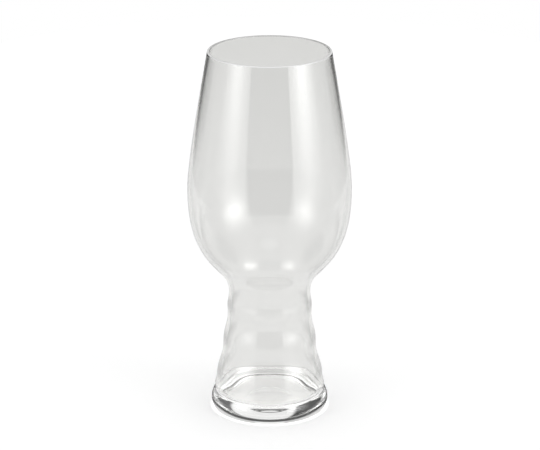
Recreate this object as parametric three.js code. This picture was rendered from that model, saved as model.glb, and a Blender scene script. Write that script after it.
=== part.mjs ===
// An IPA glass: a tulip bowl that leans in to its mouth, on a hollow ridged column and a thick foot.
// It is one run of glass with no moving part, so its pieces are the three stretches that are formed
// in different ways. They meet face to face at two fused seams.
// Millimetres, +Z up, with the origin on the table under the axis.
import * as THREE from "three";

// Heights above the table.
const GLASS_HEIGHT = 188;
const BELLY_HEIGHT = 116;
const WAIST_HEIGHT = 60.5;
const FLANK_HEIGHT = 6.2;
const FLANK_CREST_HEIGHT = 2;
const FLOOR_HEIGHT = 5.5;

// Outside radii.
const RIM_RADIUS = 31;
const BELLY_RADIUS = 41.5;
const WAIST_RADIUS = 20.95;
const COLUMN_FOOT_RADIUS = 28.4;
const FOOT_RADIUS = 30;

// Thickness of the glass, which thins from the column up to the rim.
const RIM_WALL = 1.2;
const COLUMN_WALL = 1.8;

// Ridges of the column: crest to crest, and crest to groove on the outside and the inside.
const RIDGE_PITCH = 18;
const OUTER_RIDGE_DEPTH = 0.75;
const INNER_RIDGE_DEPTH = 0.4;
const RIDGE_RUNOUT = 6;

// Rounds, how far the flank draws in from its crest down to the table, and the hollow under the foot.
const FLOOR_ROUND = 6;
const FOOT_EDGE_ROUND = 1;
const FLANK_CROWN = 0.15;
const HOLLOW_RADIUS = 13;
const HOLLOW_RISE = 0.4;

// Shape of the free curves. A reach is the share of a curve's height that keeps its end direction.
const RIM_LEAN = THREE.MathUtils.degToRad(10.3);
const RIM_REACH = 0.54;
const BELLY_REACH_UP = 0.15;
const BELLY_REACH_DOWN = 0.77;
const WAIST_REACH = 0.32;
const SHOULDER_REACH = 0.45;
const FLARE_BEND = 0.6;

// Fineness of the facets.
const SIDES = 60;
const BOWL_STEPS = 8;
const LIP_STEPS = 6;
const OUTER_COLUMN_STEPS = 20;
const INNER_COLUMN_STEPS = 12;
const ROUND_STEPS = 4;
const FLANK_STEPS = 4;
const SHOULDER_STEPS = 6;

// Tone and polish of each stretch of glass. The thick foot reads a little darker, the column lighter.
const BOWL_FINISH = { color: 0xd8d9d7, roughness: 0.04 };
const COLUMN_FINISH = { color: 0xe0e1de, roughness: 0.06 };
const FOOT_FINISH = { color: 0xd2d4d1, roughness: 0.05 };
const CLEARNESS = { metalness: 0, transparent: true, opacity: 0.35 };

// The foot ends, and the column starts, where the round of the inner floor runs out into the wall.
const SEAM_HEIGHT = FLOOR_HEIGHT + FLOOR_ROUND;

const point = (radius, height) => new THREE.Vector2(radius, height);

// A named piece turned about +Z from a profile of radius and height, outside going up.
function turned(name, profile, finish) {
  const geometry = new THREE.LatheGeometry(profile, SIDES);
  geometry.rotateX(Math.PI / 2);
  const material = new THREE.MeshStandardMaterial({ ...finish, ...CLEARNESS });
  const mesh = new THREE.Mesh(geometry, material);
  mesh.name = name;
  return mesh;
}

// Radius of the column at a height: a flare that quickens towards the foot, with ridges on it.
// The ridges start from a groove at the foot's seam and run out below the waist.
function columnRadius(height, ridgeDepth) {
  const drop = WAIST_HEIGHT - height;
  const t = drop / (WAIST_HEIGHT - SEAM_HEIGHT);
  const flare = (COLUMN_FOOT_RADIUS - WAIST_RADIUS) * ((1 - FLARE_BEND) * t + FLARE_BEND * t * t);
  const wave = -Math.cos((2 * Math.PI * (height - SEAM_HEIGHT)) / RIDGE_PITCH);
  const runout = THREE.MathUtils.smoothstep(drop, 0, RIDGE_RUNOUT);
  return WAIST_RADIUS + flare + (runout * wave * ridgeDepth) / 2;
}

const outerColumn = (height) => columnRadius(height, OUTER_RIDGE_DEPTH);
const innerColumn = (height) => columnRadius(height, INNER_RIDGE_DEPTH) - COLUMN_WALL;

// Points of one upright face between two heights, from its radius at each height.
function uprightFace(radiusAt, from, to, steps) {
  const heights = Array.from({ length: steps + 1 }, (_, i) => from + ((to - from) * i) / steps);
  return heights.map((height) => point(radiusAt(height), height));
}

// How much the column's radius still shrinks per millimetre of height where it runs on into the bowl.
const waistSlope = () =>
  ((COLUMN_FOOT_RADIUS - WAIST_RADIUS) * (1 - FLARE_BEND)) / (WAIST_HEIGHT - SEAM_HEIGHT);

// The bowl's outside: on from the column at the waist out to the belly, then in to the leaning rim.
function bowlCurves(rimEdge) {
  const drop = BELLY_HEIGHT - WAIST_HEIGHT;
  const rise = rimEdge.y - BELLY_HEIGHT;
  const waistPull = WAIST_REACH * drop;
  const rimPull = RIM_REACH * rise;
  const lower = new THREE.CubicBezierCurve(
    point(WAIST_RADIUS, WAIST_HEIGHT),
    point(WAIST_RADIUS - waistPull * waistSlope(), WAIST_HEIGHT + waistPull),
    point(BELLY_RADIUS, BELLY_HEIGHT - BELLY_REACH_DOWN * drop),
    point(BELLY_RADIUS, BELLY_HEIGHT),
  );
  const upper = new THREE.CubicBezierCurve(
    point(BELLY_RADIUS, BELLY_HEIGHT),
    point(BELLY_RADIUS, BELLY_HEIGHT + BELLY_REACH_UP * rise),
    point(rimEdge.x + rimPull * Math.tan(RIM_LEAN), rimEdge.y - rimPull),
    rimEdge,
  );
  return [lower, upper];
}

// The thin bowl: its outside, the round lip, and its inside at the wall's thickness below that.
// At the waist the wall is measured level, so that the seam is flat.
function makeBowl() {
  const lipRadius = RIM_WALL / 2;
  const rimEdge = point(RIM_RADIUS, GLASS_HEIGHT - lipRadius * (1 - Math.sin(RIM_LEAN)));
  const outside = [];
  const inside = [];
  bowlCurves(rimEdge).forEach((curve, part) => {
    for (let i = part; i <= BOWL_STEPS; i += 1) {
      const place = curve.getPoint(i / BOWL_STEPS);
      const along = curve.getTangent(i / BOWL_STEPS);
      const share = (place.y - WAIST_HEIGHT) / (rimEdge.y - WAIST_HEIGHT);
      const wall = THREE.MathUtils.lerp(COLUMN_WALL, RIM_WALL, share);
      const atSeam = outside.length === 0;
      const across = atSeam ? point(1, 0) : point(along.y, -along.x);
      outside.push(place);
      inside.unshift(point(place.x - wall * across.x, place.y - wall * across.y));
    }
  });
  const lipX = RIM_RADIUS - lipRadius * Math.cos(RIM_LEAN);
  const lipY = GLASS_HEIGHT - lipRadius;
  const lip = new THREE.EllipseCurve(lipX, lipY, lipRadius, lipRadius, RIM_LEAN, RIM_LEAN + Math.PI);
  const round = lip.getPoints(LIP_STEPS).slice(1, -1);
  return turned("bowl", [...outside, ...round, ...inside, outside[0]], BOWL_FINISH);
}

// The hollow column, with ridges on its outside and softer ones on its inside.
function makeRidgedColumn() {
  const outside = uprightFace(outerColumn, SEAM_HEIGHT, WAIST_HEIGHT, OUTER_COLUMN_STEPS);
  const inside = uprightFace(innerColumn, WAIST_HEIGHT, SEAM_HEIGHT, INNER_COLUMN_STEPS);
  return turned("ridged_column", [...outside, ...inside, outside[0]], COLUMN_FINISH);
}

// Radius of the foot's flank at a height: a parabola that is widest at its crest, a little above the table.
function flankRadius(height) {
  return FOOT_RADIUS - FLANK_CROWN * (height / FLANK_CREST_HEIGHT - 1) ** 2;
}

// The solid foot: hollow underside, standing ring, flank, shoulder, seam, and the round inner floor.
function makeFoot() {
  const underside = new THREE.QuadraticBezierCurve(
    point(0, HOLLOW_RISE),
    point(HOLLOW_RADIUS / 2, HOLLOW_RISE),
    point(HOLLOW_RADIUS, 0),
  );
  const ringRadius = flankRadius(FOOT_EDGE_ROUND) - FOOT_EDGE_ROUND;
  const edge = new THREE.EllipseCurve(
    ringRadius, FOOT_EDGE_ROUND, FOOT_EDGE_ROUND, FOOT_EDGE_ROUND, -Math.PI / 2, 0,
  );
  const flank = uprightFace(flankRadius, FOOT_EDGE_ROUND, FLANK_HEIGHT, FLANK_STEPS).slice(1, -1);
  const flankTop = flankRadius(FLANK_HEIGHT);
  const flankSlope = (-2 * FLANK_CROWN * (FLANK_HEIGHT / FLANK_CREST_HEIGHT - 1)) / FLANK_CREST_HEIGHT;
  const shoulderTop = point(outerColumn(SEAM_HEIGHT), SEAM_HEIGHT);
  const reach = SHOULDER_REACH * (SEAM_HEIGHT - FLANK_HEIGHT);
  const shoulder = new THREE.CubicBezierCurve(
    point(flankTop, FLANK_HEIGHT),
    point(flankTop + flankSlope * reach, FLANK_HEIGHT + reach),
    point(shoulderTop.x, SEAM_HEIGHT - reach),
    shoulderTop,
  );
  const floorRadius = innerColumn(SEAM_HEIGHT) - FLOOR_ROUND;
  const floorRound = new THREE.EllipseCurve(
    floorRadius, SEAM_HEIGHT, FLOOR_ROUND, FLOOR_ROUND, 0, -Math.PI / 2, true,
  );
  const profile = [
    ...underside.getPoints(ROUND_STEPS),
    ...edge.getPoints(ROUND_STEPS),
    ...flank,
    ...shoulder.getPoints(SHOULDER_STEPS),
    ...floorRound.getPoints(ROUND_STEPS),
    point(0, FLOOR_HEIGHT),
  ];
  return turned("foot", profile, FOOT_FINISH);
}

const ipaGlass = new THREE.Group();
ipaGlass.name = "ipa_glass";
ipaGlass.add(makeFoot(), makeRidgedColumn(), makeBowl());

export default ipaGlass;
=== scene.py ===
# An IPA glass in a white studio: a thick foot, a hollow ridged column and a thin tulip bowl.
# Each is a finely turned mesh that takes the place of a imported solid. Metres, +Z up, table at Z = 0.
import math

import bpy
import numpy as np
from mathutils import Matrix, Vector


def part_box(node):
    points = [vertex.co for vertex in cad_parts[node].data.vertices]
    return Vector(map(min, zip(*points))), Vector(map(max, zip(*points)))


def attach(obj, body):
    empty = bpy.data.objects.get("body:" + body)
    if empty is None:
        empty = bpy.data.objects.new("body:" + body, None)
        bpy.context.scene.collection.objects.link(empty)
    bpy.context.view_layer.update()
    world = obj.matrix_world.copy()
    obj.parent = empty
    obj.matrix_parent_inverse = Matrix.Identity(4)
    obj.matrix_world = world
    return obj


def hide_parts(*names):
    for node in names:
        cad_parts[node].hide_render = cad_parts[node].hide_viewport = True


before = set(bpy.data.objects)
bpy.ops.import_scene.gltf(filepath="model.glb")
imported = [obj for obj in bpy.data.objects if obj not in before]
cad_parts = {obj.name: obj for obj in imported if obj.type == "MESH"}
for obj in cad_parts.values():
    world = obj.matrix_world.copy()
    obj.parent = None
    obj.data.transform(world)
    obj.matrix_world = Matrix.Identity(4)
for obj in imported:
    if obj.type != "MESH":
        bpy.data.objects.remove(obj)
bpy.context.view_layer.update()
scene = bpy.context.scene
scene.view_settings.view_transform = "Standard"

# Camera: a long lens in front of the glass and above its rim, looking down at it.
# Its place was worked out from the ellipses that the rim and the foot draw in the picture.
CAMERA_PLACE = (0.0002, -1.1917, 0.5031)
CAMERA_TILT = math.radians(18.82)
LENS_LENGTH = 166.0
SENSOR_WIDTH = 36.0
camera_data = bpy.data.cameras.new("camera")
camera_data.sensor_width = SENSOR_WIDTH
camera_data.lens = LENS_LENGTH
camera = bpy.data.objects.new("camera", camera_data)
camera.location = CAMERA_PLACE
camera.rotation_euler = (math.pi / 2 - CAMERA_TILT, 0, 0)
scene.collection.objects.link(camera)
scene.camera = camera

# Foot: the thick solid bottom, of clear glass pressed in a mould and polished on its standing ring.
# Its flank is crowned and draws in towards the table, its shoulder sweeps in under the column that is
# fused to it, and a shallow hollow lies below.
FOOT_RADIUS = 0.0299
SEAM_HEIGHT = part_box("foot")[1].z
FLANK_HEIGHT = 0.0052
FLANK_CREST_HEIGHT = 0.0038
FLANK_CROWN = 0.0010
FLOOR_HEIGHT = 0.0052
FLOOR_ROUND = SEAM_HEIGHT - FLOOR_HEIGHT
FOOT_EDGE_ROUND = 0.0005
HOLLOW_RADIUS = 0.013
HOLLOW_RISE = 0.0004
SHOULDER_REACH = 0.45
COLUMN_FOOT_RADIUS = 0.0284
COLUMN_WALL = 0.0018
OUTER_RIDGE_DEPTH = 0.00075
INNER_RIDGE_DEPTH = 0.0004
SIDES = 288
HOLLOW_STEPS = 24
RING_STEPS = 6
FOOT_EDGE_STEPS = 12
FLANK_STEPS = 24
SHOULDER_STEPS = 32
FLOOR_ROUND_STEPS = 24
FLOOR_STEPS = 8
SHARP_ANGLE = math.radians(50)
FUSED_TOLERANCE = 1e-7
# Painted shade: the tones are greys for the darker ground seen through the glass, and the near tone is for
# the clear wall in front.
FOOT_TONE = (0.79, 0.79, 0.78)
SEAM_TONE = (0.76, 0.76, 0.745)
NEAR_TONE = (0.985, 0.985, 0.985)
NO_EDGE_SHADE = 1.0
GLASS_IOR = 1.5
MELT_SCALE = 22
MELT_DETAIL = 2
MELT_DRIFT = 0.004
MELT_WAVE_STRENGTH = 0.02
MELT_WAVE_DEPTH = 0.001
WEAR_SCALE = 160
WEAR_DETAIL = 3
WEAR_ROUGHNESS = 0.02
FRONT_TO_BEHIND = (0.5, 0.1)
EDGE_GLANCE = (0.70, 0.95)


def line(start, end, count):
    """Straight run of points from start to end, each a radius and a height, with the end left out."""
    share = np.arange(count)[:, None] / count
    return np.array(start) * (1 - share) + np.array(end) * share


def arc(centre, radius, start, end, count):
    """Round run of points at one radius about a centre, from one angle to another, end left out."""
    angle = start + (end - start) * np.arange(count) / count
    return np.stack([centre[0] + radius * np.cos(angle), centre[1] + radius * np.sin(angle)], 1)


def sweep(points, count):
    """Cubic curve: four points, each weighed by the cubic shares of the way along, end left out.

    It leaves the first point towards the second and reaches the fourth from the third.
    """
    t = np.arange(count)[:, None] / count
    a, b, c, d = (np.array(p) for p in points)
    return (1 - t) ** 3 * a + 3 * (1 - t) ** 2 * t * b + 3 * (1 - t) * t ** 2 * c + t ** 3 * d


def flank_radius(height):
    """Radius of the flank: the foot's radius less a parabola of the height from the crest."""
    return FOOT_RADIUS - FLANK_CROWN * (height / FLANK_CREST_HEIGHT - 1) ** 2


def flank_slope(height):
    """Growth of the flank's radius with height, the slope of that parabola."""
    return -2 * FLANK_CROWN * (height / FLANK_CREST_HEIGHT - 1) / FLANK_CREST_HEIGHT


def fused_seam():
    """Nothing at all: the level faces where two pieces are fused, which clear glass does not show."""
    material = bpy.data.materials.get("fused_seam")
    if material is None:
        material = bpy.data.materials.new("fused_seam")
        material.use_nodes = True
        material.node_tree.nodes["Principled BSDF"].inputs["Alpha"].default_value = 0.0
    return material


def turned(name, profile, on_axis, seams, glass):
    """Turns a profile of radii and heights about Z: (r, h) goes to (r cos a, r sin a, h) round the turn.

    A profile on the axis starts and ends in a pole, and any other profile closes on itself. Level faces
    at the heights of the seams are fused to the next piece.
    """
    angle = 2 * np.pi * np.arange(SIDES) / SIDES
    rings = profile[1:-1] if on_axis else profile
    radius = rings[:, :1]
    height = np.broadcast_to(rings[:, 1:], (len(rings), SIDES))
    grid = np.stack([radius * np.cos(angle), radius * np.sin(angle), height], 2)
    index = np.arange(len(rings) * SIDES).reshape(len(rings), SIDES)
    near = index[:-1] if on_axis else index
    far = index[1:] if on_axis else np.roll(index, -1, 0)
    quads = np.stack([near, np.roll(near, -1, 1), np.roll(far, -1, 1), far], 2).reshape(-1, 4)
    near_height = height.ravel()[near]
    far_height = height.ravel()[far]
    level = np.abs(near_height - far_height) < FUSED_TOLERANCE
    at_seam = np.min([np.abs(near_height - seam) for seam in seams], 0) < FUSED_TOLERANCE
    slots = (level & at_seam).astype(int).ravel()
    places = grid.reshape(-1, 3)
    faces = quads.tolist()
    if on_axis:
        first, last = len(places), len(places) + 1
        poles = np.array([[0, 0, profile[0, 1]], [0, 0, profile[-1, 1]]])
        places = np.concatenate([places, poles])
        start, end = index[0], index[-1]
        faces += np.stack([np.full(SIDES, first), np.roll(start, -1), start], 1).tolist()
        faces += np.stack([np.full(SIDES, last), end, np.roll(end, -1)], 1).tolist()
        slots = np.concatenate([slots, np.zeros(2 * SIDES, int)])
    mesh = bpy.data.meshes.new(name)
    mesh.from_pydata(places.tolist(), [], faces)
    mesh.materials.append(glass)
    mesh.materials.append(fused_seam())
    mesh.polygons.foreach_set("material_index", slots)
    mesh.polygons.foreach_set("use_smooth", np.ones(len(mesh.polygons), bool))
    mesh.set_sharp_from_angle(angle=SHARP_ANGLE)
    piece = bpy.data.objects.new(name, mesh)
    scene.collection.objects.link(piece)
    return piece


def remapped(nodes, links, value, span, onto=(0.0, 1.0), soft=False):
    """A value carried from one span onto another and held there, in proportion or along a soft S."""
    change = nodes.new("ShaderNodeMapRange")
    change.interpolation_type = "SMOOTHSTEP" if soft else "LINEAR"
    change.inputs["From Min"].default_value = span[0]
    change.inputs["From Max"].default_value = span[1]
    change.inputs["To Min"].default_value = onto[0]
    change.inputs["To Max"].default_value = onto[1]
    links.new(value, change.inputs["Value"])
    return change.outputs["Result"]


def product(nodes, links, first, second):
    """One value times another."""
    times = nodes.new("ShaderNodeMath")
    times.operation = "MULTIPLY"
    links.new(first, times.inputs[0])
    links.new(second, times.inputs[1])
    return times.outputs["Value"]


def mixed(nodes, links, share, first, second):
    """One tone to start with and more of another as the share grows, each a fixed colour or a socket."""
    mix = nodes.new("ShaderNodeMix")
    mix.data_type = "RGBA"
    colours = [socket for socket in mix.inputs if socket.type == "RGBA"]
    for socket, tone in zip(colours, (first, second)):
        if isinstance(tone, bpy.types.NodeSocket):
            links.new(tone, socket)
        else:
            socket.default_value = (*tone, 1)
    links.new(share, mix.inputs["Factor"])
    return next(socket for socket in mix.outputs if socket.type == "RGBA")


def shaded_tone(nodes, links, tone, amount):
    """A tone times an amount, its red, green and blue alike."""
    shade = nodes.new("ShaderNodeVectorMath")
    shade.operation = "SCALE"
    links.new(tone, shade.inputs["Vector"])
    links.new(amount, shade.inputs["Scale"])
    return shade.outputs["Vector"]


def clear_glass(name, low, low_tone, high, high_tone, edge_shade, hollow):
    """Clear glass with painted shade: a faint grey for the darker ground seen through the glass, which
    runs from one tone to another up the piece and drifts with the melt, a painted darker edge where the
    wall is seen along, slow waves of the surface and a fine polish.

    The painted grey lies on the wall behind, where the side that is seen faces the axis, and the wall in
    front is clear. So one wall, as in the mouth, looks as grey as two. In a hollow piece only the outside
    of that wall has it, twice over, so that the edge is as grey too, where a ray stays within the wall.
    """
    material = bpy.data.materials.new(name)
    material.use_nodes = True
    nodes, links = material.node_tree.nodes, material.node_tree.links
    shader = nodes["Principled BSDF"]
    shader.inputs["Transmission Weight"].default_value = 1.0
    shader.inputs["IOR"].default_value = GLASS_IOR
    place = nodes.new("ShaderNodeTexCoord")
    split = nodes.new("ShaderNodeSeparateXYZ")
    links.new(place.outputs["Object"], split.inputs["Vector"])
    melt = nodes.new("ShaderNodeTexNoise")
    melt.inputs["Scale"].default_value = MELT_SCALE
    melt.inputs["Detail"].default_value = MELT_DETAIL
    links.new(place.outputs["Object"], melt.inputs["Vector"])
    drift = nodes.new("ShaderNodeMath")
    drift.operation = "MULTIPLY_ADD"
    drift.inputs[1].default_value = MELT_DRIFT
    links.new(melt.outputs["Fac"], drift.inputs[0])
    links.new(split.outputs["Z"], drift.inputs[2])
    climb = remapped(nodes, links, drift.outputs["Value"], (low, high))
    times_over = 2 if hollow else 1
    # Painted shade: the grey for the darker ground seen through the glass, from one tone to another up the
    # piece.
    grey = mixed(nodes, links, climb, np.power(low_tone, times_over), np.power(high_tone, times_over))
    level = nodes.new("ShaderNodeVectorMath")
    level.operation = "MULTIPLY"
    level.inputs[1].default_value = (1, 1, 0)
    links.new(place.outputs["Object"], level.inputs[0])
    outward = nodes.new("ShaderNodeVectorMath")
    outward.operation = "NORMALIZE"
    links.new(level.outputs["Vector"], outward.inputs[0])
    seen_side = nodes.new("ShaderNodeNewGeometry")
    facing_out = nodes.new("ShaderNodeVectorMath")
    facing_out.operation = "DOT_PRODUCT"
    links.new(outward.outputs["Vector"], facing_out.inputs[0])
    links.new(seen_side.outputs["Normal"], facing_out.inputs[1])
    behind = remapped(nodes, links, facing_out.outputs["Value"], FRONT_TO_BEHIND)
    if hollow:
        behind = product(nodes, links, behind, seen_side.outputs["Backfacing"])
    wall = mixed(nodes, links, behind, NEAR_TONE, grey)
    # Painted shade: the colour is darkened where the wall is seen along.
    glance = nodes.new("ShaderNodeLayerWeight")
    edge = remapped(nodes, links, glance.outputs["Facing"], EDGE_GLANCE, (1.0, edge_shade))
    links.new(shaded_tone(nodes, links, wall, edge), shader.inputs["Base Color"])
    wear = nodes.new("ShaderNodeTexNoise")
    wear.inputs["Scale"].default_value = WEAR_SCALE
    wear.inputs["Detail"].default_value = WEAR_DETAIL
    links.new(place.outputs["Object"], wear.inputs["Vector"])
    polish = remapped(nodes, links, wear.outputs["Fac"], (0.0, 1.0), (0.0, WEAR_ROUGHNESS))
    links.new(polish, shader.inputs["Roughness"])
    wave = nodes.new("ShaderNodeBump")
    wave.inputs["Strength"].default_value = MELT_WAVE_STRENGTH
    wave.inputs["Distance"].default_value = MELT_WAVE_DEPTH
    links.new(melt.outputs["Fac"], wave.inputs["Height"])
    links.new(wave.outputs["Normal"], shader.inputs["Normal"])
    return material


column_foot_outside = COLUMN_FOOT_RADIUS - OUTER_RIDGE_DEPTH / 2
column_foot_inside = COLUMN_FOOT_RADIUS - INNER_RIDGE_DEPTH / 2 - COLUMN_WALL
floor_radius = column_foot_inside - FLOOR_ROUND
flank_top = flank_radius(FLANK_HEIGHT)
shoulder_pull = SHOULDER_REACH * (SEAM_HEIGHT - FLANK_HEIGHT)
edge_lean = math.atan(flank_slope(FOOT_EDGE_ROUND))
edge_top = FOOT_EDGE_ROUND * (1 - math.sin(edge_lean))
ring_radius = flank_radius(edge_top) - FOOT_EDGE_ROUND * math.cos(edge_lean)
flank_heights = edge_top + (FLANK_HEIGHT - edge_top) * np.arange(FLANK_STEPS) / FLANK_STEPS
hollow_curve = [
    (0, HOLLOW_RISE),
    (HOLLOW_RADIUS / 3, HOLLOW_RISE),
    (HOLLOW_RADIUS * 2 / 3, HOLLOW_RISE * 2 / 3),
    (HOLLOW_RADIUS, 0),
]
shoulder_curve = [
    (flank_top, FLANK_HEIGHT),
    (flank_top + flank_slope(FLANK_HEIGHT) * shoulder_pull, FLANK_HEIGHT + shoulder_pull),
    (column_foot_outside, SEAM_HEIGHT - shoulder_pull),
    (column_foot_outside, SEAM_HEIGHT),
]
foot_profile = np.concatenate([
    sweep(hollow_curve, HOLLOW_STEPS),
    line((HOLLOW_RADIUS, 0), (ring_radius, 0), RING_STEPS),
    arc((ring_radius, FOOT_EDGE_ROUND), FOOT_EDGE_ROUND, -math.pi / 2, -edge_lean, FOOT_EDGE_STEPS),
    np.stack([flank_radius(flank_heights), flank_heights], 1),
    sweep(shoulder_curve, SHOULDER_STEPS),
    shoulder_curve[-1:],
    arc((floor_radius, SEAM_HEIGHT), FLOOR_ROUND, 0, -math.pi / 2, FLOOR_ROUND_STEPS),
    line((floor_radius, FLOOR_HEIGHT), (0, FLOOR_HEIGHT), FLOOR_STEPS),
    [(0, FLOOR_HEIGHT)],
])
foot_glass = clear_glass(
    "foot_glass", 0, FOOT_TONE, SEAM_HEIGHT, SEAM_TONE, edge_shade=NO_EDGE_SHADE, hollow=False)
foot = turned("pressed_foot", foot_profile, on_axis=True, seams=[SEAM_HEIGHT], glass=foot_glass)
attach(foot, "root")
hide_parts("foot")

# Column: the hollow grip between foot and waist, of clear glass blown against a mould with soft ridges.
# It is fused to the foot below and runs on into the bowl above.
WAIST_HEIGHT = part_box("ridged_column")[1].z
WAIST_RADIUS = 0.02095
RIDGE_PITCH = 0.018
RIDGE_RUNOUT = 0.006
FLARE_BEND = 0.6
COLUMN_STEPS = 160
# Painted shade: the waist's grey for the darker ground seen through the glass, darker edges where the wall
# is seen along, and shade on the ridges' sides.
WAIST_TONE = (0.745, 0.745, 0.73)
EDGE_SHADE = 0.45
CREST_SHADE = 0.36
CREST_WAVE = (0.3, -1.0)
CREST_GLANCE = (0.40, 0.72)


def column_radius(height, ridge_depth):
    """Radius of the column: a flare that quickens towards the foot, plus a cosine wave of ridges.

    The wave has a groove at the foot's seam and fades out over the last stretch below the waist.
    """
    drop = WAIST_HEIGHT - height
    t = drop / (WAIST_HEIGHT - SEAM_HEIGHT)
    flare = (COLUMN_FOOT_RADIUS - WAIST_RADIUS) * ((1 - FLARE_BEND) * t + FLARE_BEND * t * t)
    wave = -np.cos(2 * np.pi * (height - SEAM_HEIGHT) / RIDGE_PITCH)
    fade = np.clip(drop / RIDGE_RUNOUT, 0, 1)
    fade = fade * fade * (3 - 2 * fade)
    return WAIST_RADIUS + flare + fade * wave * ridge_depth / 2


def shade_crests(material):
    """Paints shade on the sides of the ridges, where the glass is thickest.

    The shade is the ridges' cosine of the height, times how far along the wall is seen.
    """
    nodes, links = material.node_tree.nodes, material.node_tree.links
    base = nodes["Principled BSDF"].inputs["Base Color"]
    tone = base.links[0].from_socket
    place = nodes.new("ShaderNodeTexCoord")
    split = nodes.new("ShaderNodeSeparateXYZ")
    links.new(place.outputs["Object"], split.inputs["Vector"])
    turns = nodes.new("ShaderNodeMath")
    turns.operation = "MULTIPLY_ADD"
    turns.inputs[1].default_value = 2 * math.pi / RIDGE_PITCH
    turns.inputs[2].default_value = -2 * math.pi * SEAM_HEIGHT / RIDGE_PITCH
    links.new(split.outputs["Z"], turns.inputs[0])
    wave = nodes.new("ShaderNodeMath")
    wave.operation = "COSINE"
    links.new(turns.outputs["Value"], wave.inputs[0])
    crest = remapped(nodes, links, wave.outputs["Value"], CREST_WAVE)
    glance = nodes.new("ShaderNodeLayerWeight")
    side = remapped(nodes, links, glance.outputs["Facing"], CREST_GLANCE)
    both = product(nodes, links, crest, side)
    depth = remapped(nodes, links, both, (0.0, 1.0), (1.0, CREST_SHADE))
    links.new(shaded_tone(nodes, links, tone, depth), base)


column_heights = np.linspace(SEAM_HEIGHT, WAIST_HEIGHT, COLUMN_STEPS + 1)
column_outer_radii = column_radius(column_heights, OUTER_RIDGE_DEPTH)
column_inner_radii = column_radius(column_heights, INNER_RIDGE_DEPTH) - COLUMN_WALL
column_outside = np.stack([column_outer_radii, column_heights], 1)
column_inside = np.stack([column_inner_radii, column_heights], 1)
column_profile = np.concatenate([column_outside, column_inside[::-1]])
column_glass = clear_glass(
    "column_glass", SEAM_HEIGHT, SEAM_TONE, WAIST_HEIGHT, WAIST_TONE, edge_shade=EDGE_SHADE, hollow=True)
shade_crests(column_glass)
column = turned(
    "ridged_grip", column_profile, on_axis=False, seams=[SEAM_HEIGHT, WAIST_HEIGHT], glass=column_glass)
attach(column, "root")
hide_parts("ridged_column")

# Bowl: the thin tulip of clear blown glass, swelling from the waist to the belly and leaning in to
# the mouth. Its lip was melted round in a flame, and its lower end is one with the column.
BELLY_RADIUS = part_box("bowl")[1].x
GLASS_HEIGHT = 0.188
BELLY_HEIGHT = 0.116
RIM_RADIUS = 0.031
RIM_WALL = 0.0012
RIM_LEAN = math.radians(10.3)
RIM_REACH = 0.54
BELLY_REACH_UP = 0.15
BELLY_REACH_DOWN = 0.77
WAIST_REACH = 0.32
LIP_RADIUS = RIM_WALL / 2
SEAM_LEVELLING = 0.006
LOWER_BOWL_STEPS = 86
UPPER_BOWL_STEPS = 70
LIP_STEPS = 14
# Painted shade and highlight: the rim's grey for the darker ground seen through the glass, and a lip made
# mostly matt, so that the lamps light it into a bright line on the rim.
RIM_TONE = (0.67, 0.67, 0.655)
LIP_TONE = (0.70, 0.70, 0.69)
LIP_CLEARNESS = 0.15
rim_edge = (RIM_RADIUS, GLASS_HEIGHT - LIP_RADIUS * (1 - math.sin(RIM_LEAN)))
waist_slope = (COLUMN_FOOT_RADIUS - WAIST_RADIUS) * (1 - FLARE_BEND) / (WAIST_HEIGHT - SEAM_HEIGHT)
waist_pull = WAIST_REACH * (BELLY_HEIGHT - WAIST_HEIGHT)
belly_pull_down = BELLY_REACH_DOWN * (BELLY_HEIGHT - WAIST_HEIGHT)
belly_pull_up = BELLY_REACH_UP * (rim_edge[1] - BELLY_HEIGHT)
rim_pull = RIM_REACH * (rim_edge[1] - BELLY_HEIGHT)
lower_curve = [
    (WAIST_RADIUS, WAIST_HEIGHT),
    (WAIST_RADIUS - waist_pull * waist_slope, WAIST_HEIGHT + waist_pull),
    (BELLY_RADIUS, BELLY_HEIGHT - belly_pull_down),
    (BELLY_RADIUS, BELLY_HEIGHT),
]
upper_curve = [
    (BELLY_RADIUS, BELLY_HEIGHT),
    (BELLY_RADIUS, BELLY_HEIGHT + belly_pull_up),
    (RIM_RADIUS + rim_pull * math.tan(RIM_LEAN), rim_edge[1] - rim_pull),
    rim_edge,
]
bowl_outside = np.concatenate([
    sweep(lower_curve, LOWER_BOWL_STEPS),
    sweep(upper_curve, UPPER_BOWL_STEPS),
    [rim_edge],
])
# The wall is measured square to the outside, but level at the waist, so that the seam there is flat.
along = np.gradient(bowl_outside, axis=0)
along[-1] = (-math.sin(RIM_LEAN), math.cos(RIM_LEAN))
along /= np.linalg.norm(along, axis=1, keepdims=True)
along[:, 0] -= along[0, 0] * np.exp((WAIST_HEIGHT - bowl_outside[:, 1]) / SEAM_LEVELLING)
along /= np.linalg.norm(along, axis=1, keepdims=True)
rise_share = (bowl_outside[:, 1] - WAIST_HEIGHT) / (rim_edge[1] - WAIST_HEIGHT)
bowl_wall = (COLUMN_WALL + (RIM_WALL - COLUMN_WALL) * rise_share)[:, None]
bowl_inside = bowl_outside + bowl_wall * np.stack([-along[:, 1], along[:, 0]], 1)
lip_centre = (RIM_RADIUS - LIP_RADIUS * math.cos(RIM_LEAN), GLASS_HEIGHT - LIP_RADIUS)
lip = arc(lip_centre, LIP_RADIUS, RIM_LEAN, RIM_LEAN + math.pi, LIP_STEPS)[1:]
bowl_profile = np.concatenate([bowl_outside, lip, bowl_inside[::-1]])
bowl_glass = clear_glass(
    "bowl_glass", WAIST_HEIGHT, WAIST_TONE, GLASS_HEIGHT, RIM_TONE, edge_shade=EDGE_SHADE, hollow=True)
bowl = turned("tulip_bowl", bowl_profile, on_axis=False, seams=[WAIST_HEIGHT], glass=bowl_glass)
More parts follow.
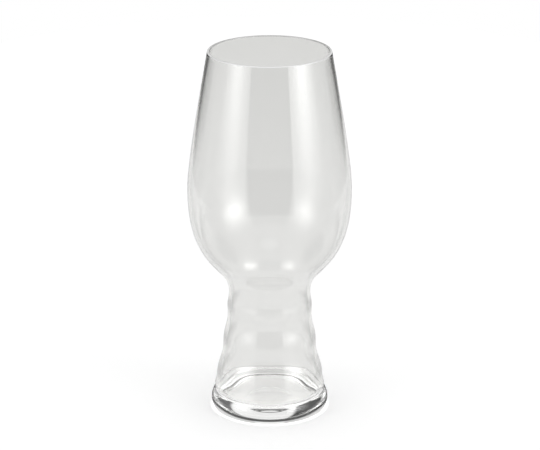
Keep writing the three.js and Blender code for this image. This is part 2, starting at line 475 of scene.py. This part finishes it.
# Painted highlight: the lip is made mostly matt, so that the lamps light it into a bright line along the
# rim.
lip_painted_highlight = clear_glass(
    "lip_painted_highlight", WAIST_HEIGHT, LIP_TONE, GLASS_HEIGHT, LIP_TONE, edge_shade=NO_EDGE_SHADE, hollow=False)
lip_painted_highlight.node_tree.nodes["Principled BSDF"].inputs["Transmission Weight"].default_value = LIP_CLEARNESS
bowl.data.materials.append(lip_painted_highlight)
middles = np.empty(3 * len(bowl.data.polygons))
bowl.data.polygons.foreach_get("center", middles)
bowl_slots = np.empty(len(bowl.data.polygons), int)
bowl.data.polygons.foreach_get("material_index", bowl_slots)
bowl_slots[middles[2::3] > GLASS_HEIGHT - LIP_RADIUS] = len(bowl.data.materials) - 1
bowl.data.polygons.foreach_set("material_index", bowl_slots)
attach(bowl, "root")
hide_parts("bowl")

# Table: an oval top in matt pale paint, with the glass in front of its middle. What is seen of it is
# lifted to white, and it keeps the lamps' shadows. Under the foot it glows with a painted light, for
# what the glass gathers there, and a painted shadow, a dark ring round the foot, shows in the glass
# alone, at low angles.
TABLE_HALF_WIDTH = 0.42
TABLE_HALF_LENGTH = 0.60
TABLE_MIDDLE = 0.22
TABLE_GAP = 0.0002
TABLE_COLOUR = (0.90, 0.90, 0.90)
TABLE_WHITENING = 0.31
UNDER_FOOT_LIGHT = 0.54
RING_INSIDE = (0.0295, 0.0310)
RING_OUTSIDE = (0.0460, 0.0520)
RING_PAINTED_SHADOW = 0.05
RING_GLANCE = (0.45, 0.65)
table_turn = 2 * np.pi * np.arange(SIDES) / SIDES
table_x = TABLE_HALF_WIDTH * np.cos(table_turn)
table_y = TABLE_MIDDLE + TABLE_HALF_LENGTH * np.sin(table_turn)
table_edge = np.stack([table_x, table_y, np.zeros(SIDES)], 1)
table_mesh = bpy.data.meshes.new("table_top")
table_mesh.from_pydata(table_edge.tolist(), [], [list(range(SIDES))])
table = bpy.data.objects.new("table_top", table_mesh)
table.location = (0, 0, -TABLE_GAP)
scene.collection.objects.link(table)


def rays_by_glass(nodes, links):
    """One for a ray that is seen by way of glass, through it or mirrored in it, and zero for any other."""
    path = nodes.new("ShaderNodeLightPath")
    either = nodes.new("ShaderNodeMath")
    either.operation = "MAXIMUM"
    links.new(path.outputs["Is Glossy Ray"], either.inputs[0])
    links.new(path.outputs["Is Transmission Ray"], either.inputs[1])
    return either.outputs["Value"]


def seen_level(nodes, links, lit, seen):
    """A level for rays that only light, and one for rays that are seen: straight or by way of glass."""
    path = nodes.new("ShaderNodeLightPath")
    any_way = nodes.new("ShaderNodeMath")
    any_way.operation = "MAXIMUM"
    links.new(path.outputs["Is Camera Ray"], any_way.inputs[0])
    links.new(rays_by_glass(nodes, links), any_way.inputs[1])
    return remapped(nodes, links, any_way.outputs["Value"], (0.0, 1.0), (lit, seen))


table_paint = bpy.data.materials.new("white_table")
table_paint.use_nodes = True
nodes, links = table_paint.node_tree.nodes, table_paint.node_tree.links
matt = nodes["Principled BSDF"]
matt.inputs["Base Color"].default_value = (*TABLE_COLOUR, 1)
matt.inputs["Roughness"].default_value = 1.0
matt.inputs["Specular IOR Level"].default_value = 0.0
table_place = nodes.new("ShaderNodeTexCoord")
distance = nodes.new("ShaderNodeVectorMath")
distance.operation = "LENGTH"
links.new(table_place.outputs["Object"], distance.inputs[0])
off_axis = distance.outputs["Value"]
own_share = nodes.new("ShaderNodeMath")
own_share.operation = "ADD"
# Painted light: a glow on the table under the foot, for the light the glass gathers there.
under_foot = remapped(nodes, links, off_axis, RING_INSIDE, (UNDER_FOOT_LIGHT, 0.0), soft=True)
links.new(under_foot, own_share.inputs[0])
links.new(seen_level(nodes, links, 0.0, TABLE_WHITENING), own_share.inputs[1])
own_light = nodes.new("ShaderNodeEmission")
links.new(own_share.outputs["Value"], own_light.inputs["Strength"])
pale = nodes.new("ShaderNodeAddShader")
links.new(matt.outputs["BSDF"], pale.inputs[0])
links.new(own_light.outputs["Emission"], pale.inputs[1])
# Painted shadow: a dark glow in a ring round the foot, seen only by way of glass and only at low angles.
dark = nodes.new("ShaderNodeEmission")
dark.inputs["Strength"].default_value = RING_PAINTED_SHADOW
ring_start = remapped(nodes, links, off_axis, RING_INSIDE, soft=True)
ring_end = remapped(nodes, links, off_axis, RING_OUTSIDE, (1.0, 0.0), soft=True)
ring = product(nodes, links, ring_start, ring_end)
glance = nodes.new("ShaderNodeLayerWeight")
low_view = remapped(nodes, links, glance.outputs["Facing"], RING_GLANCE)
low_by_glass = product(nodes, links, low_view, rays_by_glass(nodes, links))
ringed = nodes.new("ShaderNodeMixShader")
links.new(product(nodes, links, ring, low_by_glass), ringed.inputs[0])
links.new(pale.outputs["Shader"], ringed.inputs[1])
links.new(dark.outputs["Emission"], ringed.inputs[2])
links.new(ringed.outputs["Shader"], nodes["Material Output"].inputs["Surface"])
table_mesh.materials.append(table_paint)

# Studio: white walls all round that light the glass and the table softly.
# Seen straight or by way of glass they are plain white, so the ground of the picture is white too.
STUDIO_LIGHT = 0.75
STUDIO_WHITE = 1.0
GLASS_BOUNCES = 32
MIRROR_BOUNCES = 24
world = bpy.data.worlds.new("white_studio")
scene.world = world
world.use_nodes = True
nodes, links = world.node_tree.nodes, world.node_tree.links
links.new(seen_level(nodes, links, STUDIO_LIGHT, STUDIO_WHITE), nodes["Background"].inputs["Strength"])
nodes["Background"].inputs["Color"].default_value = (1, 1, 1, 1)
scene.cycles.max_bounces = GLASS_BOUNCES
scene.cycles.glossy_bounces = MIRROR_BOUNCES
scene.cycles.transmission_bounces = GLASS_BOUNCES
scene.cycles.transparent_max_bounces = GLASS_BOUNCES

# Boards: bent panels round the table, out of the picture, that only the glass shows. Dark ones behind
# and in front give the clear glass its edges, and two bright ones are the soft boxes. Places on them are
# in degrees, and a pair of azimuths or elevations is where one brightness eases into the next.
BOARD_STEPS = 96
BOARD_MIDDLE = 0.10
SIDE_GREY_LOW = 0.16
SIDE_GREY_ROUND = 0.75
UPPER_GREY_RISE = (0, 20)
MIDDLE_BOTTOM = (-3, 1)
MIDDLE_TOP = (16, 22)
LOW_FIELD_END = (60, 68)
LOW_FIELD_BOTTOM = (12, 19)
LOW_FIELD_AZIMUTH = 15
LOW_FIELD_SLANT = 5
UPPER_FIELD_BLUR = 3
UPPER_FIELD_BOTTOM = (0, 10)
SIDE_TOP = (44, 54)
SIDE_END = (72, 84)
FRONT_GREY = 0.30
FRONT_TOP = (34, 44)
SOFT_BOX_AZIMUTH = 121.5
SOFT_BOX_ELEVATION = 15
SOFT_BOX_RISE = 16.5
SOFT_BOX_START = (84, 104)
SOFT_BOX_BOTTOM = (-14, -8)
BULB_ELEVATION = 11
BULB_SPREAD = 13
BULB_RISE = 8


def ease(value, start, end):
    """Zero at the start, one at the end and a soft S between."""
    share = np.clip((value - start) / (end - start), 0, 1)
    return share * share * (3 - 2 * share)


def board(name, azimuths, elevations, distance, glow):
    """Board bent about the glass: azimuth a and elevation e go to (d sin a, d cos a, middle + d tan e).

    So an azimuth runs from +Y towards +X. The brightness at a place is the glow for its two angles.
    """
    sides = np.linspace(*azimuths, BOARD_STEPS)
    rises = np.linspace(*elevations, BOARD_STEPS)
    azimuth, elevation = np.meshgrid(sides, rises)
    turn = np.radians(azimuth)
    height = BOARD_MIDDLE + distance * np.tan(np.radians(elevation))
    places = np.stack([distance * np.sin(turn), distance * np.cos(turn), height], 2).reshape(-1, 3)
    index = np.arange(BOARD_STEPS ** 2).reshape(BOARD_STEPS, BOARD_STEPS)
    quads = np.stack([index[:-1, :-1], index[:-1, 1:], index[1:, 1:], index[1:, :-1]], 2).reshape(-1, 4)
    mesh = bpy.data.meshes.new(name)
    mesh.from_pydata(places.tolist(), [], quads.tolist())
    brightness = mesh.attributes.new("glow", "FLOAT", "POINT")
    brightness.data.foreach_set("value", glow(azimuth, elevation).ravel())
    paint = bpy.data.materials.new(name)
    paint.use_nodes = True
    paint.cycles.emission_sampling = "NONE"
    nodes, links = paint.node_tree.nodes, paint.node_tree.links
    nodes.remove(nodes["Principled BSDF"])
    shine = nodes.new("ShaderNodeEmission")
    read = nodes.new("ShaderNodeAttribute")
    read.attribute_name = "glow"
    links.new(read.outputs["Fac"], shine.inputs["Strength"])
    links.new(shine.outputs["Emission"], nodes["Material Output"].inputs["Surface"])
    mesh.materials.append(paint)
    panel = bpy.data.objects.new(name, mesh)
    panel.visible_camera = False
    panel.visible_diffuse = False
    panel.visible_shadow = False
    scene.collection.objects.link(panel)


def side_glow(upper_start, upper_grey):
    """Brightness of a side board: a dark field low down near the back, and one high up from an azimuth on.

    Between the two fields, past the low one and under its slanting lower edge the board is pale. Towards
    the ceiling, at its far end and before the upper field it is white.
    """
    def glow(azimuth, elevation):
        off_back = np.abs(azimuth)
        grey = SIDE_GREY_LOW + (upper_grey - SIDE_GREY_LOW) * ease(elevation, *UPPER_GREY_RISE)
        off_low_field = np.maximum(ease(off_back, *LOW_FIELD_END), ease(elevation, *MIDDLE_BOTTOM))
        middle = off_low_field * (1 - ease(elevation, *MIDDLE_TOP))
        slant = (off_back - LOW_FIELD_AZIMUTH) / LOW_FIELD_SLANT
        under = ease(slant - elevation, *LOW_FIELD_BOTTOM)
        top = ease(elevation, *SIDE_TOP)
        end = ease(off_back, *SIDE_END)
        past_start = ease(off_back, upper_start - UPPER_FIELD_BLUR, upper_start + UPPER_FIELD_BLUR)
        before = (1 - past_start) * ease(elevation, *UPPER_FIELD_BOTTOM)
        clear = 1 - (1 - middle) * (1 - under) * (1 - top) * (1 - end) * (1 - before)
        white = np.max([top, end, before], 0)
        pale = SIDE_GREY_ROUND + (STUDIO_WHITE - SIDE_GREY_ROUND) * white
        return grey + (pale - grey) * clear
    return glow


def front_glow(azimuth, elevation):
    """Brightness of the front board: dim at every azimuth, and white towards the ceiling."""
    return FRONT_GREY + (STUDIO_WHITE - FRONT_GREY) * ease(elevation, *FRONT_TOP)


def soft_box_glow(cloth, bulb, spread):
    """Brightness of a soft box: white, plus a wide bell over azimuth and elevation for its lit cloth, and
    a narrow bell where the bulb shows through. Both fade in from the side and from below.
    """
    def glow(azimuth, elevation):
        across = np.abs(azimuth) - SOFT_BOX_AZIMUTH
        above = elevation - SOFT_BOX_ELEVATION
        above_bulb = elevation - BULB_ELEVATION
        fade = ease(np.abs(azimuth), *SOFT_BOX_START) * ease(elevation, *SOFT_BOX_BOTTOM)
        wide = np.exp(-(across / spread) ** 2 - (above / SOFT_BOX_RISE) ** 2)
        narrow = np.exp(-(across / BULB_SPREAD) ** 2 - (above_bulb / BULB_RISE) ** 2)
        return STUDIO_WHITE + fade * (cloth * wide + bulb * narrow)
    return glow


left_fields = side_glow(upper_start=18, upper_grey=0.0)
right_fields = side_glow(upper_start=32, upper_grey=0.10)
left_cloth = soft_box_glow(cloth=3.9, bulb=1.6, spread=20)
right_cloth = soft_box_glow(cloth=4.8, bulb=3.0, spread=23)
board("side_left", azimuths=(-84, -10), elevations=(-25, 54), distance=1.60, glow=left_fields)
board("side_right", azimuths=(10, 84), elevations=(-25, 54), distance=1.60, glow=right_fields)
board("front_board", azimuths=(147, 213), elevations=(-28, 44), distance=1.50, glow=front_glow)
board("soft_box_left", azimuths=(-158, -84), elevations=(-14, 50), distance=1.65, glow=left_cloth)
board("soft_box_right", azimuths=(84, 158), elevations=(-14, 50), distance=1.65, glow=right_cloth)


# Lamps: square lamps that throw the light of the two soft boxes on the table, the right one stronger.
# Neither the camera nor the glass shows them, because the boards are what is seen of the soft boxes.
def lamp(name, azimuth, elevation, distance, width, radiance):
    """Square lamp facing the middle of the glass. Its power is the radiance times pi times its area."""
    data = bpy.data.lights.new(name, "AREA")
    data.size = width
    data.energy = radiance * math.pi * width * width
    source = bpy.data.objects.new(name, data)
    turn, rise = math.radians(azimuth), math.radians(elevation)
    reach = distance * math.cos(rise)
    toward = Vector((reach * math.sin(turn), reach * math.cos(turn), distance * math.sin(rise)))
    source.location = Vector((0, 0, BOARD_MIDDLE)) + toward
    source.rotation_mode = "QUATERNION"
    source.rotation_quaternion = (-toward).to_track_quat("-Z", "Y")
    source.visible_camera = False
    source.visible_glossy = False
    source.visible_transmission = False
    scene.collection.objects.link(source)


lamp("lamp_left", azimuth=-122.5, elevation=35, distance=1.7, width=0.9, radiance=0.8)
lamp("lamp_right", azimuth=122.5, elevation=35, distance=1.7, width=0.9, radiance=1.2)
